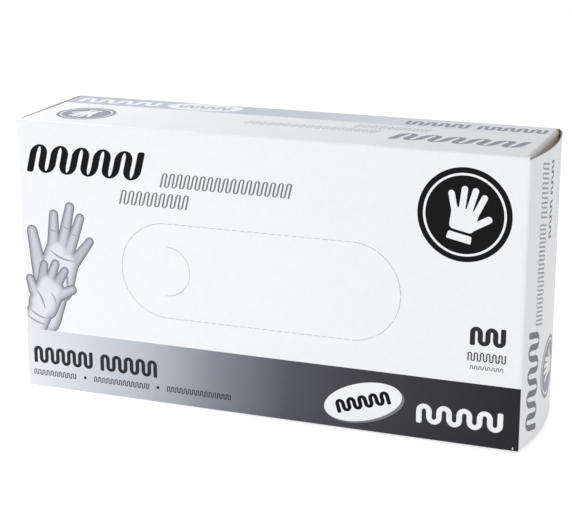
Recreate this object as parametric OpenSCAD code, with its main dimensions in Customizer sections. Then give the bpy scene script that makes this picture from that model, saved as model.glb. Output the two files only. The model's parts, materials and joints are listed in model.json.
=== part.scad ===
// Tuck-end folding carton of disposable gloves, standing on one of its long narrow sides.
// +X runs along the carton to its right end, +Y runs from the front panel to the back panel, and +Z is up.
// The origin is the middle of the face that the carton stands on.
// Every crease that folds is a hinge at the outer corner of its fold: one panel's board reaches that corner,
// and the other's starts one board thickness and one crease gap away from it, so it can turn through 180 degrees.

/* [Carton] */
// Length between the fold lines of the two end closures
carton_l = 240; // [200:1:300]
// Depth from the front panel's outer face to the back panel's
carton_d = 64; // [52:1:90]
// Height from the standing face to the top panel's outer face
carton_h = 130; // [108:1:170]

/* [Board] */
// Thickness of the folding boxboard
board_t = 0.5; // [0.4:0.05:0.7]
// Outer radius of the four long creases
crease_r = 1; // [0.8:0.1:2]
// Gap beside the board's own thickness at a crease that folds
crease_gap = 0.3; // [0.25:0.05:0.4]
// Width of a cut line through the board
cut_w = 0.3; // [0.25:0.05:0.5]

/* [End closures] */
// How far the right closure bows outward at half depth
right_bulge = 3.6; // [0.5:0.1:6]
// How far the left closure bows outward at half depth
left_bulge = 0.8; // [0.5:0.1:6]
// Clearance above and below a closure, so that it turns clear of the top panel and of the floor
closure_relief = 0.8; // [0.5:0.1:2]
// Length of a tuck flap from its fold line
tuck_l = 14; // [8:0.5:15]
// Angle that a tuck flap leans inward from the back panel
tuck_lean = 12; // [12:0.5:20]
// Radius of a tuck flap's free corners
tuck_corner_r = 9; // [2:0.5:12]
// Clearance between the ends of a tuck flap and the ends of its closure
tuck_end_gap = 1; // [0.5:0.1:4]

/* [Dust flaps] */
// Length of a dust flap from its fold line
dust_l = 45; // [25:1:48]
// Clearance between the fold end of a dust flap and the front corner of the carton
dust_front_gap = 1.5; // [1.2:0.1:5]
// Clearance between a dust flap and the back face of the carton, where the tuck flap passes
dust_back_gap = 2.7; // [2.7:0.1:8]
// How far a dust flap's front edge slants back for each millimetre of its length
dust_slant = 0.6; // [0.6:0.05:0.8]
// Radius of a dust flap's two free corners
dust_corner_r = 5; // [1:0.5:8]

/* [Glue flap] */
// Height of the glue flap inside the back panel
glue_flap_h = 16; // [10:0.5:24]
// Clearance between the glue flap and each end of the carton, where the tuck flap slides
glue_flap_end_gap = 8; // [8:0.5:20]
// Thickness of the dried glue film
glue_t = 0.1; // [0.1:0.05:0.3]
// Height of the glue film, which is centred on the flat part of the glue flap
glue_h = 9; // [4:0.5:9]
// How far the lower edge of the back panel stays above the standing face
back_edge_rise = 0.4; // [0:0.1:1]

/* [Dispensing slot] */
// Length of the stadium-shaped tear-out
slot_l = 133.2; // [90:0.5:160]
// Height of the stadium-shaped tear-out
slot_h = 44.8; // [36:0.2:60]
// Sideways place of the tear-out's centre, from the middle of the carton
slot_x = -1; // [-15:0.5:15]
// Upward place of the tear-out's centre, from half the carton's height
slot_rise = -0.4; // [-10:0.2:10]
// Radius of the half-round finger tab
tab_r = 11.7; // [9:0.1:14]
// Angle that the finger tab can be pressed in
tab_press = 35; // [20:1:45]
// Room left between a pressed finger tab and the gloves
tab_room = 2.8; // [1:0.1:10]

/* [Gloves] */
// Number of bundles that the pack of gloves is counted into
bundle_count = 10; // [6:1:10]
// Number of gloves in one bundle
gloves_per_bundle = 10; // [4:1:12]
// Thickness of one glove lying flat, two walls of film
glove_t = 0.2; // [0.15:0.01:0.3]
// Clearance between the gloves and the dust flaps at each end
glove_end_gap = 2.7; // [1:0.1:20]
// Clearance between the gloves and the bottom panel
glove_rest_gap = 0.3; // [0.3:0.05:1]
// Clearance between the gloves and the top panel
glove_top_gap = 2; // [1:0.1:20]
// Clearance between the gloves and a tuck flap
glove_tuck_gap = 0.35; // [0.3:0.05:2]
// Gap between two fingers of one glove
web_gap = 0.8; // [0.5:0.1:2]
// Width of the thumb
thumb_w = 24; // [18:0.5:26]
// Length of the thumb beyond its web
thumb_l = 44; // [30:1:50]
// Angle of the thumb to the fingers
thumb_angle = 12; // [8:1:14]
// Distance from the thumb's web back to where the thumb leaves the palm
thumb_base = 62; // [50:1:70]
// Distance from the finger webs back to the thumb's web
thumb_web_back = 22; // [10:1:30]
// Length of the little finger
little_l = 56; // [45:1:60]
// Length of the ring finger
ring_l = 72; // [60:1:76]
// Length of the middle finger
middle_l = 78; // [70:1:82]
// Length of the index finger
index_l = 70; // [60:1:76]
// How much narrower than the palm the cuff is, on each side
cuff_taper = 3; // [0:0.5:6]

/* [Hidden] */
$fn = 96;
arc_steps = 4;
bow_fn = 720;                   // a bowed closure has a long radius

end_x = carton_l / 2;           // fold line of each end closure
front_y = -carton_d / 2;        // outer face of the front panel
back_y = carton_d / 2;          // outer face of the back panel
fold_start = board_t + crease_gap;   // from a fold line to the start of the board that turns
tuck_y = back_y - fold_start;        // fold line of each tuck flap
dust_x = end_x - board_t - crease_gap;   // fold line of each dust flap, and the outer face of a folded one
seam_y = back_y - board_t - glue_t;      // outer face of the glue flap
slot_z = carton_h / 2 + slot_rise;
tab_x = slot_x - slot_l / 2 + slot_h / 2;    // fold line of the finger tab, at the slot's left arc centre

headspace = tab_r * sin(tab_press) + tab_room;      // from the front panel to the first glove
stack_front_y = front_y + board_t + headspace;
stack_back_y = tuck_y - tuck_l * sin(tuck_lean) - board_t * cos(tuck_lean) - glove_tuck_gap;
glove_pitch = (stack_back_y - stack_front_y) / (bundle_count * gloves_per_bundle);
glove_l = 2 * (dust_x - board_t - glove_end_gap);
glove_h = carton_h - 2 * board_t - glove_rest_gap - glove_top_gap;
thumb_rise = thumb_l * sin(thumb_angle) + thumb_w * cos(thumb_angle);
finger_w = (glove_h - thumb_rise - 3 * web_gap) / 4;
palm_w = 4 * finger_w + 3 * web_gap;
finger_tip_r = 0.48 * finger_w;       // just under half the width, so that the two corners of a tip stay apart
thumb_tip_r = 0.43 * thumb_w;

function bundle_name(i) = str("glove_bundle_", i < 10 ? "0" : "", i);

white_board = [0.95, 0.955, 0.965];
raw_board = [0.72, 0.69, 0.65];
glue_film = [0.9, 0.88, 0.78];
black_film = [0.09, 0.09, 0.1];

// ---- outlines ----

function unit(v) = v / norm(v);

// The points of an arc of radius r that rounds the corner p between its neighbours a and b
function round_corner(a, p, b, r) =
    let (u = unit(a - p), v = unit(b - p), half = acos(u * v) / 2,
         centre = p + unit(u + v) * r / sin(half),
         from = p + u * r / tan(half) - centre,
         to = p + v * r / tan(half) - centre,
         start = atan2(from.y, from.x),
         turn = atan2(from.x * to.y - from.y * to.x, from * to))
    [for (i = [0:arc_steps]) centre + r * [cos(start + turn * i / arc_steps), sin(start + turn * i / arc_steps)]];

// An outline whose corners, given as [x, y, radius], are rounded where the radius is above 0
function rounded(corners) =
    let (n = len(corners), at = [for (c = corners) [c.x, c.y]])
    [for (i = [0:n - 1])
        each (corners[i].z > 0
            ? round_corner(at[(i + n - 1) % n], at[i], at[(i + 1) % n], corners[i].z)
            : [at[i]])];

// A stadium of full length l and height h, centred on the origin
module stadium(l, h) {
    square([l - h, h], center = true);
    for (side = [-1, 1]) translate([side * (l - h) / 2, 0]) circle(d = h);
}

// The half disc of radius r to the right of the line x = start, for a disc centred on the origin
module half_disc(r, start) {
    intersection() {
        circle(r);
        translate([start, -r]) square([r, 2 * r]);
    }
}

// A quarter of a ring that rounds a crease, in the quadrant where x and y have the signs sx and sy
module quarter_ring(r, t, sx, sy) {
    intersection() {
        difference() {
            circle(r);
            circle(r - t);
        }
        translate([min(0, sx * r), min(0, sy * r)]) square(r);
    }
}

// ---- placing ----

// A sheet in the XZ plane, from y to y + t
module sheet_xz(y, t) {
    translate([0, y + t, 0]) rotate([90, 0, 0]) linear_extrude(t) children();
}

// A sheet in the YZ plane, from x to x + t
module sheet_yz(x, t) {
    translate([x, 0, 0]) rotate([90, 0, 90]) linear_extrude(t) children();
}

// A profile in the YZ plane carried along the carton, l long and centred on it
module along_x(l) {
    translate([-l / 2, 0, 0]) rotate([90, 0, 90]) linear_extrude(l) children();
}

// The right end is drawn as it stands, and the left end is its mirror image
module at_end(side) {
    mirror([side < 0 ? 1 : 0, 0, 0]) children();
}

// ---- sleeve ----

module front_panel() {
    color(white_board) sheet_xz(front_y, board_t) difference() {
        translate([-end_x, crease_r]) square([carton_l, carton_h - 2 * crease_r]);
        translate([slot_x, slot_z]) stadium(slot_l, slot_h);
    }
}

module back_panel() {
    color(white_board) sheet_xz(back_y - board_t, board_t)
        translate([-end_x + crease_gap, back_edge_rise])
            square([carton_l - 2 * crease_gap, carton_h - crease_r - back_edge_rise]);
}

module top_panel() {
    color(white_board) along_x(2 * dust_x) {
        translate([front_y + crease_r, carton_h - board_t]) square([carton_d - 2 * crease_r, board_t]);
        translate([front_y + crease_r, carton_h - crease_r]) quarter_ring(crease_r, board_t, -1, 1);
        translate([back_y - crease_r, carton_h - crease_r]) quarter_ring(crease_r, board_t, 1, 1);
    }
}

module bottom_panel() {
    color(white_board) along_x(2 * dust_x) {
        translate([front_y + crease_r, 0]) square([seam_y - front_y - 2 * crease_r, board_t]);
        translate([front_y + crease_r, crease_r]) quarter_ring(crease_r, board_t, -1, -1);
        translate([seam_y - crease_r, crease_r]) quarter_ring(crease_r, board_t, 1, -1);
    }
}

module glue_flap() {
    half = end_x - glue_flap_end_gap;
    rise = glue_flap_h - crease_r;
    color(raw_board) sheet_xz(seam_y - board_t, board_t)
        translate([0, crease_r])
            polygon([[-half, 0], [half, 0], [half - rise / 2, rise], [-half + rise / 2, rise]]);
}

module glue_seam() {
    half = end_x - glue_flap_end_gap - (glue_flap_h - crease_r) / 2;
    color(glue_film) sheet_xz(seam_y, glue_t)
        translate([-half, (crease_r + glue_flap_h - glue_h) / 2]) square([2 * half, glue_h]);
}

// ---- tear-out ----

module dispensing_panel() {
    color(white_board) sheet_xz(front_y, board_t) difference() {
        translate([slot_x, slot_z]) stadium(slot_l - 2 * cut_w, slot_h - 2 * cut_w);
        translate([tab_x, slot_z]) half_disc(tab_r, 0);
    }
}

module finger_tab() {
    color(white_board) sheet_xz(front_y, board_t)
        translate([tab_x, slot_z]) half_disc(tab_r - cut_w, cut_w);
}

// ---- end closures ----

// The bowed closure panel between its fold line at the front and the tuck flap's fold line at the back
module end_panel(bulge) {
    chord = tuck_y - front_y - fold_start;
    bow_r = (chord * chord / 4 + bulge * bulge) / (2 * bulge);
    color(white_board)
        translate([end_x - bow_r + bulge, front_y + fold_start + chord / 2, closure_relief])
            linear_extrude(carton_h - 2 * closure_relief) intersection() {
                difference() {
                    circle(bow_r, $fn = bow_fn);
                    circle(bow_r - board_t, $fn = bow_fn);
                }
                translate([0, -chord / 2]) square([bow_r + 1, chord]);
            }
}

module tuck_flap() {
    low = closure_relief + tuck_end_gap;
    high = carton_h - low;
    color(white_board) translate([end_x, tuck_y, 0]) rotate([0, 0, tuck_lean])
        sheet_xz(-board_t, board_t) polygon(rounded([
            [-fold_start, high, 0],
            [-tuck_l, high, tuck_corner_r],
            [-tuck_l, low, tuck_corner_r],
            [-fold_start, low, 0]]));
}

// A dust flap hangs from the top panel's end, or stands on the bottom panel's end
function dust_height(upper, along) = upper ? carton_h - along : along;

module dust_flap(upper) {
    front = front_y + dust_front_gap;
    back = back_y - dust_back_gap;
    color(white_board) sheet_yz(dust_x - board_t, board_t) polygon(rounded([
        [front + dust_slant * fold_start, dust_height(upper, fold_start), 0],
        [back, dust_height(upper, fold_start), 0],
        [back - board_t, dust_height(upper, dust_l), dust_corner_r],
        [front + dust_slant * dust_l, dust_height(upper, dust_l), dust_corner_r]]));
}

// ---- gloves ----

// One finger's four corners, from the web line out to the tip and back
function finger(x, z, l) = [
    [x, z, 0], [x + l, z, finger_tip_r], [x + l, z + finger_w, finger_tip_r], [x, z + finger_w, 0]];

// One glove lying flat: cuff to the left, fingers to the right, thumb at the top, lowest point at z = 0
module glove_outline() {
    web_x = glove_l / 2 - middle_l;
    crotch = [web_x - thumb_web_back, palm_w];
    along = [cos(thumb_angle), sin(thumb_angle)];
    across = [-sin(thumb_angle), cos(thumb_angle)];
    tip_low = crotch + thumb_l * along;
    tip_high = tip_low + thumb_w * across;
    lengths = [little_l, ring_l, middle_l, index_l];
    polygon(rounded(concat(
        [[-glove_l / 2, cuff_taper, 0], [-glove_l / 2 + thumb_base, 0, thumb_base / 2]],
        [for (k = [0:3]) each finger(web_x, k * (finger_w + web_gap), lengths[k])],
        [[crotch.x, crotch.y, 0],
         [tip_low.x, tip_low.y, thumb_tip_r], [tip_high.x, tip_high.y, thumb_tip_r],
         [crotch.x - thumb_base, palm_w - cuff_taper, thumb_base / 2],
         [-glove_l / 2, palm_w - cuff_taper, 0]])));
}

// Gloves lie with their cuffs at alternate ends, as they are interleaved in the pack
module glove_bundle(i) {
    for (k = [0:gloves_per_bundle - 1]) {
        place = (i - 1) * gloves_per_bundle + k;
        color(black_film)
            sheet_xz(stack_front_y + (place + 1) * glove_pitch - glove_t, glove_t)
                translate([0, board_t + glove_rest_gap]) mirror([place % 2, 0]) glove_outline();
    }
}

front_panel();
back_panel();
top_panel();
bottom_panel();
glue_flap();
glue_seam();
dispensing_panel();
finger_tab();
at_end(1) end_panel(right_bulge);  // right_end_panel
at_end(1) tuck_flap();  // right_tuck_flap
at_end(1) dust_flap(true);  // right_upper_dust_flap
at_end(1) dust_flap(false);  // right_lower_dust_flap
at_end(-1) end_panel(left_bulge);  // left_end_panel
at_end(-1) tuck_flap();  // left_tuck_flap
at_end(-1) dust_flap(true);  // left_upper_dust_flap
at_end(-1) dust_flap(false);  // left_lower_dust_flap
for (i = [1:bundle_count]) glove_bundle(i);
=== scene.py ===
import json
import math
import random

import bpy
import numpy as np
from mathutils import Matrix, Vector
from mathutils.geometry import delaunay_2d_cdt


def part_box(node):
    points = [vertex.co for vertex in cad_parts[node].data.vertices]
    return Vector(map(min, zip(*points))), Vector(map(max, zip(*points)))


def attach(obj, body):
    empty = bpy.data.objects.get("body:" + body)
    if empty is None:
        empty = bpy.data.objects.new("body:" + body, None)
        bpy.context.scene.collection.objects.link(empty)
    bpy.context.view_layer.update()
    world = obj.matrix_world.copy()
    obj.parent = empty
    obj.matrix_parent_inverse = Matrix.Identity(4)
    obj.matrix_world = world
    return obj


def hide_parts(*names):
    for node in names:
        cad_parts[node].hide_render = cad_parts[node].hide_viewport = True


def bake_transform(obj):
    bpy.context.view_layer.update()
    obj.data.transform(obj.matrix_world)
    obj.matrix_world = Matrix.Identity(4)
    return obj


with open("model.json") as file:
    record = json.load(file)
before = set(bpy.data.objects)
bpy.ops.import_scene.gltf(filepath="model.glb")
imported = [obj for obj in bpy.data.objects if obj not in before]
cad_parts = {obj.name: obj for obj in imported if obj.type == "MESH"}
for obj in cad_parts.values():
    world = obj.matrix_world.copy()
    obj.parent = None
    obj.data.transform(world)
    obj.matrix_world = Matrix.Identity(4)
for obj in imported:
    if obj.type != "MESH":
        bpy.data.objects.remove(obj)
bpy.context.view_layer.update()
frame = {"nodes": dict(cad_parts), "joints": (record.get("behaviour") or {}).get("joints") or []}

# A closed carton of examination gloves. Each panel is cut flat, with its print cut into it as shapes, and is
# then laid along the path that the folded board follows.

# -------------------- sizes, in millimetres, from the frame

MM = 0.001


def node_box(node):
    low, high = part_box(node)
    return np.array(low) / MM, np.array(high) / MM


front_low, front_high = node_box("front_panel")
back_low, back_high = node_box("back_panel")
top_low, top_high = node_box("top_panel")
glue_low, glue_high = node_box("glue_flap")
tear_low, tear_high = node_box("dispensing_panel")
tuck_joint = next(j for j in frame["joints"] if j["name"] == "right_tuck_crease")

BOARD = front_high[1] - front_low[1]
END_X = front_high[0]
FRONT_Y = front_low[1]
BACK_Y = back_high[1]
HEIGHT = top_high[2]
CREASE_R = front_low[2]  # outer radius of the long creases
QUARTER = CREASE_R * math.pi / 2  # length of board round one of them
SEAM_Y = glue_high[1]
TUCK_Y = tuck_joint["pos_m"][1] / MM
END_Y = FRONT_Y + 0.8  # where a closure panel starts, past its crease
CLOSURE_R = 1.7  # outer radius of the closures' soft folds
DUST_X = top_high[0]  # outer face of the folded dust flaps
DUST_R = 2.2  # outer radius of their soft folds

CAD_CUT = 0.3  # the solids' cut round the tear-out
CUT = 0.13  # the knife's cut that shows
TIE_GAP = 0.004
SLOT_X = (tear_low[0] + tear_high[0]) / 2
SLOT_Z = (tear_low[2] + tear_high[2]) / 2
SLOT_R = (tear_high[2] - tear_low[2]) / 2 + CAD_CUT
SLOT_RUN = tear_high[0] - tear_low[0] + 2 * CAD_CUT - 2 * SLOT_R
HALF_TURN = math.pi * SLOT_R
STRAIGHT_CUTS = (3.6, 1.2)  # period of the cuts on the straight runs, and the tie between them
ROUND_CUTS = (11.7, 0.9)  # the same round the ends
CUT_STEP = 1.6  # between points along a cut
TAB_X = SLOT_X - SLOT_RUN / 2
TAB_R = node_box("finger_tab")[1][0] - TAB_X + CAD_CUT
TAB_FOLD_IN, TAB_FOLD_OUT = 0.4, 0.5  # how far the tab's crease reaches to either side of its fold
TAB_STEPS = 28

WAVINESS = 0.06  # of the panels
CREASE_HOLD = 14  # how far from a crease the board is kept straight
FRONT_BOW, TOP_BOW, BACK_BOW = 0.3, 0.2, 0.15

# -------------------- outlines


def arc(centre, r, start, end, steps):
    """Points of an arc; angles in degrees."""
    angles = np.radians(np.linspace(start, end, steps + 1))
    return [(centre[0] + r * math.cos(a), centre[1] + r * math.sin(a)) for a in angles]


def disc(x, y, r, steps=40):
    return arc((x, y), r, 0, 360, steps)[:-1]


def rectangle(x0, y0, x1, y1):
    return [(x0, y0), (x1, y0), (x1, y1), (x0, y1)]


def rounded(corners, steps=4):
    """A polygon of (x, y, radius) corners, rounded where the radius is above 0."""
    out = []
    for i, (x, y, r) in enumerate(corners):
        if r <= 0:
            out.append((x, y))
            continue
        here = Vector((x, y))
        u = (Vector(corners[i - 1][:2]) - here).normalized()
        v = (Vector(corners[(i + 1) % len(corners)][:2]) - here).normalized()
        half = math.acos(max(-1, min(1, u.dot(v)))) / 2
        centre = here + (u + v).normalized() * r / math.sin(half)
        first = here + u * r / math.tan(half) - centre
        last = here + v * r / math.tan(half) - centre
        turn = math.atan2(first.x * last.y - first.y * last.x, first.dot(last))
        start = math.atan2(first.y, first.x)
        for k in range(steps + 1):
            a = start + turn * k / steps
            out.append((centre.x + r * math.cos(a), centre.y + r * math.sin(a)))
    return out


def capsule(x0, y0, x1, y1, r, r_end=None, steps=8):
    """A finger: a straight limb with round ends of radius r and r_end."""
    r_end = r if r_end is None else r_end
    heading = math.degrees(math.atan2(y1 - y0, x1 - x0))
    return (arc((x0, y0), r, heading + 90, heading + 270, steps)
            + arc((x1, y1), r_end, heading - 90, heading + 90, steps))


def half_oval(centre, rx, ry, start, steps):
    """Half an ellipse, from the angle start."""
    return [(centre[0] + rx * (x - centre[0]), centre[1] + ry * (y - centre[1]))
            for x, y in arc(centre, 1, start, start + 180, steps)]


def stroke(points, width):
    """A pen stroke through points, tapered at both ends."""
    p = np.array(points, float)
    d = np.gradient(p, axis=0)
    n = np.stack([-d[:, 1], d[:, 0]], 1) / np.linalg.norm(d, axis=1)[:, None]
    t = np.linspace(0, 1, len(p))
    w = (width / 2 * (0.25 + 0.75 * np.sin(math.pi * t)))[:, None]
    return [tuple(q) for q in p + n * w] + [tuple(q) for q in (p - n * w)[::-1]]


def curve(p0, p1, p2, steps=10):
    """A quadratic curve from p0 to p2, drawn towards p1."""
    t = np.linspace(0, 1, steps + 1)[:, None]
    p0, p1, p2 = (np.array(p, float) for p in (p0, p1, p2))
    return (1 - t) ** 2 * p0 + 2 * t * (1 - t) * p1 + t ** 2 * p2


def sheared(points, slant):
    return [(x + y * math.tan(math.radians(slant)), y) for x, y in points]


def moved(inks, angle=0.0, dx=0.0, dy=0.0, scale=1.0):
    """Printed shapes turned by an angle in degrees, scaled and moved."""
    c = math.cos(math.radians(angle)) * scale
    s = math.sin(math.radians(angle)) * scale
    return [(ink, [(x * c - y * s + dx, x * s + y * c + dy) for x, y in loop]) for ink, loop in inks]


def mirrored(inks):
    return [(ink, [(-x, y) for x, y in loop]) for ink, loop in inks]


# -------------------- paths that the board follows


class Path:
    """A line of straight runs and arcs in a plane, measured along its length."""

    def __init__(self, x, y, heading):
        self.points, self.headings, self.lengths = [(x, y)], [heading], [0.0]

    def forward(self, length):
        (x, y), a = self.points[-1], math.radians(self.headings[-1])
        self.points.append((x + length * math.cos(a), y + length * math.sin(a)))
        self.headings.append(self.headings[-1])
        self.lengths.append(self.lengths[-1] + length)
        return self.lengths[-1]

    def turn(self, r, degrees, steps=32):
        """Turns left for a positive angle, and right for a negative one."""
        side = 1 if degrees > 0 else -1
        (x, y), h, s = self.points[-1], self.headings[-1], self.lengths[-1]
        a = math.radians(h + 90 * side)
        cx, cy = x + r * math.cos(a), y + r * math.sin(a)
        for k in range(1, steps + 1):
            now = h + degrees * k / steps
            b = math.radians(now - 90 * side)
            self.points.append((cx + r * math.cos(b), cy + r * math.sin(b)))
            self.headings.append(now)
            self.lengths.append(s + abs(math.radians(degrees)) * r * k / steps)
        return self.lengths[-1]

    def at(self, s):
        """Points at the lengths s, and the unit vectors to the left of the path there."""
        p, s0 = np.array(self.points), self.lengths
        xy = np.stack([np.interp(s, s0, p[:, 0]), np.interp(s, s0, p[:, 1])], 1)
        h = np.radians(np.interp(s, s0, self.headings))
        return xy, np.stack([-np.sin(h), np.cos(h)], 1)


# Round the sleeve in the YZ plane: glue flap, bottom, front, top and back, with the inside on the right
sleeve = Path(SEAM_Y, glue_high[2], -90)
GLUE_S = sleeve.forward(glue_high[2] - CREASE_R)
sleeve.turn(CREASE_R, -90)
sleeve.forward(SEAM_Y - FRONT_Y - 2 * CREASE_R)
FRONT_S = sleeve.turn(CREASE_R, -90)
FRONT_END_S = sleeve.forward(HEIGHT - 2 * CREASE_R)
TOP_S = sleeve.turn(CREASE_R, -90)
sleeve.forward(BACK_Y - FRONT_Y - 2 * CREASE_R)
BACK_S = sleeve.turn(CREASE_R, -90)
TOP_END_S = BACK_S - 2  # just before the back crease
END_S = sleeve.forward(HEIGHT - CREASE_R - back_low[2])


def ripple(u, v, seed):
    """A smooth random surface, about -1 to 1, from a few waves 30 to 110 mm long."""
    rng, out = random.Random(seed), 0
    for _ in range(7):
        angle, length, phase = rng.uniform(0, math.pi), rng.uniform(30, 110), rng.uniform(0, 2 * math.pi)
        out = out + np.sin((u * math.cos(angle) + v * math.sin(angle)) * 2 * math.pi / length + phase)
    return out / 3.5


def fade(a, low, high, edge):
    """0 at the ends of a run and 1 further in than edge."""
    t = np.clip(np.minimum(a - low, high - a) / edge, 0, 1)
    return t * t * (3 - 2 * t)


def sleeve_place(length_at, run, bow=0.0, waviness=0.0, seed=0):
    """Lays out one panel. length_at gives the length round the sleeve for a Y or Z of the panel."""
    start, end = run

    def place(u, v, w):
        s = length_at(v)
        yz, left = sleeve.at(s)
        hold = fade(s, start, end, CREASE_HOLD) * fade(u, -END_X, END_X, CREASE_HOLD)
        bowed = bow * fade(s, start, end, (end - start) / 2) * fade(u, -END_X, END_X, END_X)
        out = bowed + waviness * ripple(u, s, seed)
        yz = yz - left * (w * BOARD)[:, None] + left * (hold * out)[:, None]
        return np.stack([u, yz[:, 0], yz[:, 1]], 1)
    return place


# Places of the panels' points (u, v, w). u is X. v is Z or, on the top and the bottom panel, Y, which
# runs on round their creases. w goes from 0 at the outer face to 1 at the inner one.
front_place = sleeve_place(lambda z: z - CREASE_R + FRONT_S, (FRONT_S, FRONT_END_S),
                           FRONT_BOW, WAVINESS, seed=3)
top_place = sleeve_place(lambda y: y - FRONT_Y - CREASE_R + TOP_S, (TOP_S, TOP_END_S),
                         TOP_BOW, WAVINESS, seed=5)
bottom_place = sleeve_place(lambda y: FRONT_S - (y - FRONT_Y - CREASE_R) - QUARTER, (GLUE_S, FRONT_S))
back_place = sleeve_place(lambda z: BACK_S + HEIGHT - CREASE_R - z, (BACK_S, END_S),
                          BACK_BOW, WAVINESS, seed=8)
glue_place = sleeve_place(lambda z: glue_high[2] - z, (0, GLUE_S))


class Closure:
    """One end: a path in the XY plane from the front panel over the closure panel to the tuck flap."""

    TUCK_LEAN = 12.0  # degrees that the tuck flap leans from the end
    TUCK_R = 0.8
    WAVINESS = 0.12
    LIFT = {1: 0.0, -1: 0.45}  # the left closure's upper edge sits a little high at the back
    LIFT_START, LIFT_RUN = 18, 46  # where it starts to rise, from the front, and over what depth

    def __init__(self, side):
        self.side = side
        self.name = "right" if side > 0 else "left"
        low, high = node_box(f"{self.name}_end_panel")
        tuck_low, tuck_high = node_box(f"{self.name}_tuck_flap")
        self.low, self.high = low[2], high[2]
        self.tuck_low, self.tuck_high = tuck_low[2], tuck_high[2]
        start_y = low[1]
        bulge = (high[0] if side > 0 else -low[0]) - END_X
        chord = TUCK_Y - start_y
        lean = math.degrees(2 * math.atan(2 * bulge / chord))  # slope of the bow at its two ends
        r = (chord ** 2 / 4 + bulge ** 2) / (2 * bulge)
        corner_x = END_X - (start_y - FRONT_Y) * math.tan(math.radians(lean))
        bend = 90 - lean
        tangent = CLOSURE_R * math.tan(math.radians(bend / 2))
        self.hinge_x = corner_x - tangent  # where the front panel starts to bend
        path = Path(self.hinge_x, FRONT_Y, 0)
        path.turn(CLOSURE_R, bend)
        self.hinge_s = path.forward(max(0, (start_y - FRONT_Y) / math.cos(math.radians(lean)) - tangent))
        self.tuck_s = path.turn(r, 2 * lean - math.degrees(self.TUCK_R / r), 60)
        self.tuck_flap_s = path.turn(self.TUCK_R, 180 + self.TUCK_LEAN - path.headings[-1])
        inner_x = tuck_low[0] if side > 0 else -tuck_high[0]
        reach = (END_X - inner_x) / math.cos(math.radians(self.TUCK_LEAN))
        self.end_s = path.forward(reach - 2 * self.TUCK_R)
        self.path = path

    def place(self, u, v, w):
        """u is the length along the path, and v is Z."""
        xy, left = self.path.at(u)
        back = np.clip((xy[:, 1] - FRONT_Y - self.LIFT_START) / self.LIFT_RUN, 0, 1)
        v = v + self.LIFT[self.side] * back * np.clip((v - self.low) / (self.high - self.low), 0, 1) ** 4
        hold = fade(u, self.hinge_s, self.tuck_s, 10) * fade(v, self.low, self.high, 20)
        bumps = self.WAVINESS * hold * ripple(u, v, 11 + self.side)
        xy = xy + left * (w * BOARD)[:, None] - left * bumps[:, None]
        return np.stack([self.side * xy[:, 0], xy[:, 1], v], 1)

    def panel_place(self, u, v, w):
        """The closure panel with u running over the depth of the carton, for its print."""
        share = (u - END_Y) / (TUCK_Y - END_Y)
        return self.place(self.hinge_s + share * (self.tuck_s - self.hinge_s), v, w)


class DustFlap:
    """A flap that bends down from the top panel, or up from the bottom one, in the XZ plane."""

    CURL = 0.5  # how far its end curls inward

    def __init__(self, side, upper):
        self.side, self.upper = side, upper
        self.name = f"{'right' if side > 0 else 'left'}_{'upper' if upper else 'lower'}_dust"
        low, high = node_box(self.name + "_flap")
        self.y0, self.y1 = low[1], high[1]
        length = HEIGHT - low[2] if upper else high[2]
        self.path = Path(DUST_X - DUST_R, HEIGHT, 0)
        self.bend_s = self.path.turn(DUST_R, -90)
        self.end_s = self.path.forward(length - DUST_R)

    def place(self, u, v, w):
        """u is Y, and v is the length along the path from the start of the bend."""
        xz, left = self.path.at(v)
        curl = self.CURL * np.clip((v - self.bend_s) / (self.end_s - self.bend_s), 0, 1) ** 2
        xz = xz - left * (w * BOARD + curl)[:, None]
        z = xz[:, 1] if self.upper else HEIGHT - xz[:, 1]
        return np.stack([self.side * xz[:, 0], u, z], 1)


# -------------------- sheets of board


def inside(loop, p):
    """Which of the points p lie inside the loop."""
    q = np.array(loop)
    hit = np.zeros(len(p), bool)
    near = ((p >= q.min(0)) & (p <= q.max(0))).all(1)
    if not near.any():
        return hit
    x, y = p[near, 0][:, None], p[near, 1][:, None]
    x0, y0 = q[:, 0], q[:, 1]
    x1, y1 = np.roll(x0, -1), np.roll(y0, -1)
    crosses = (y0 > y) != (y1 > y)
    with np.errstate(divide="ignore", invalid="ignore"):
        cut = (x1 - x0) * (y - y0) / (y1 - y0) + x0
    hit[near] = ((crosses & (x < cut)).sum(1) % 2).astype(bool)
    return hit


def dense(loop, grid):
    """The loop with points added, so that no edge is longer than the grid and a bent sheet stays smooth."""
    out = []
    for (x0, y0), (x1, y1) in zip(loop, loop[1:] + loop[:1]):
        steps = max(1, math.ceil(max(abs(x1 - x0) / grid[0], abs(y1 - y0) / grid[1]) - 1e-6))
        out += [(x0 + (x1 - x0) * k / steps, y0 + (y1 - y0) * k / steps) for k in range(steps)]
    return out


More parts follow.
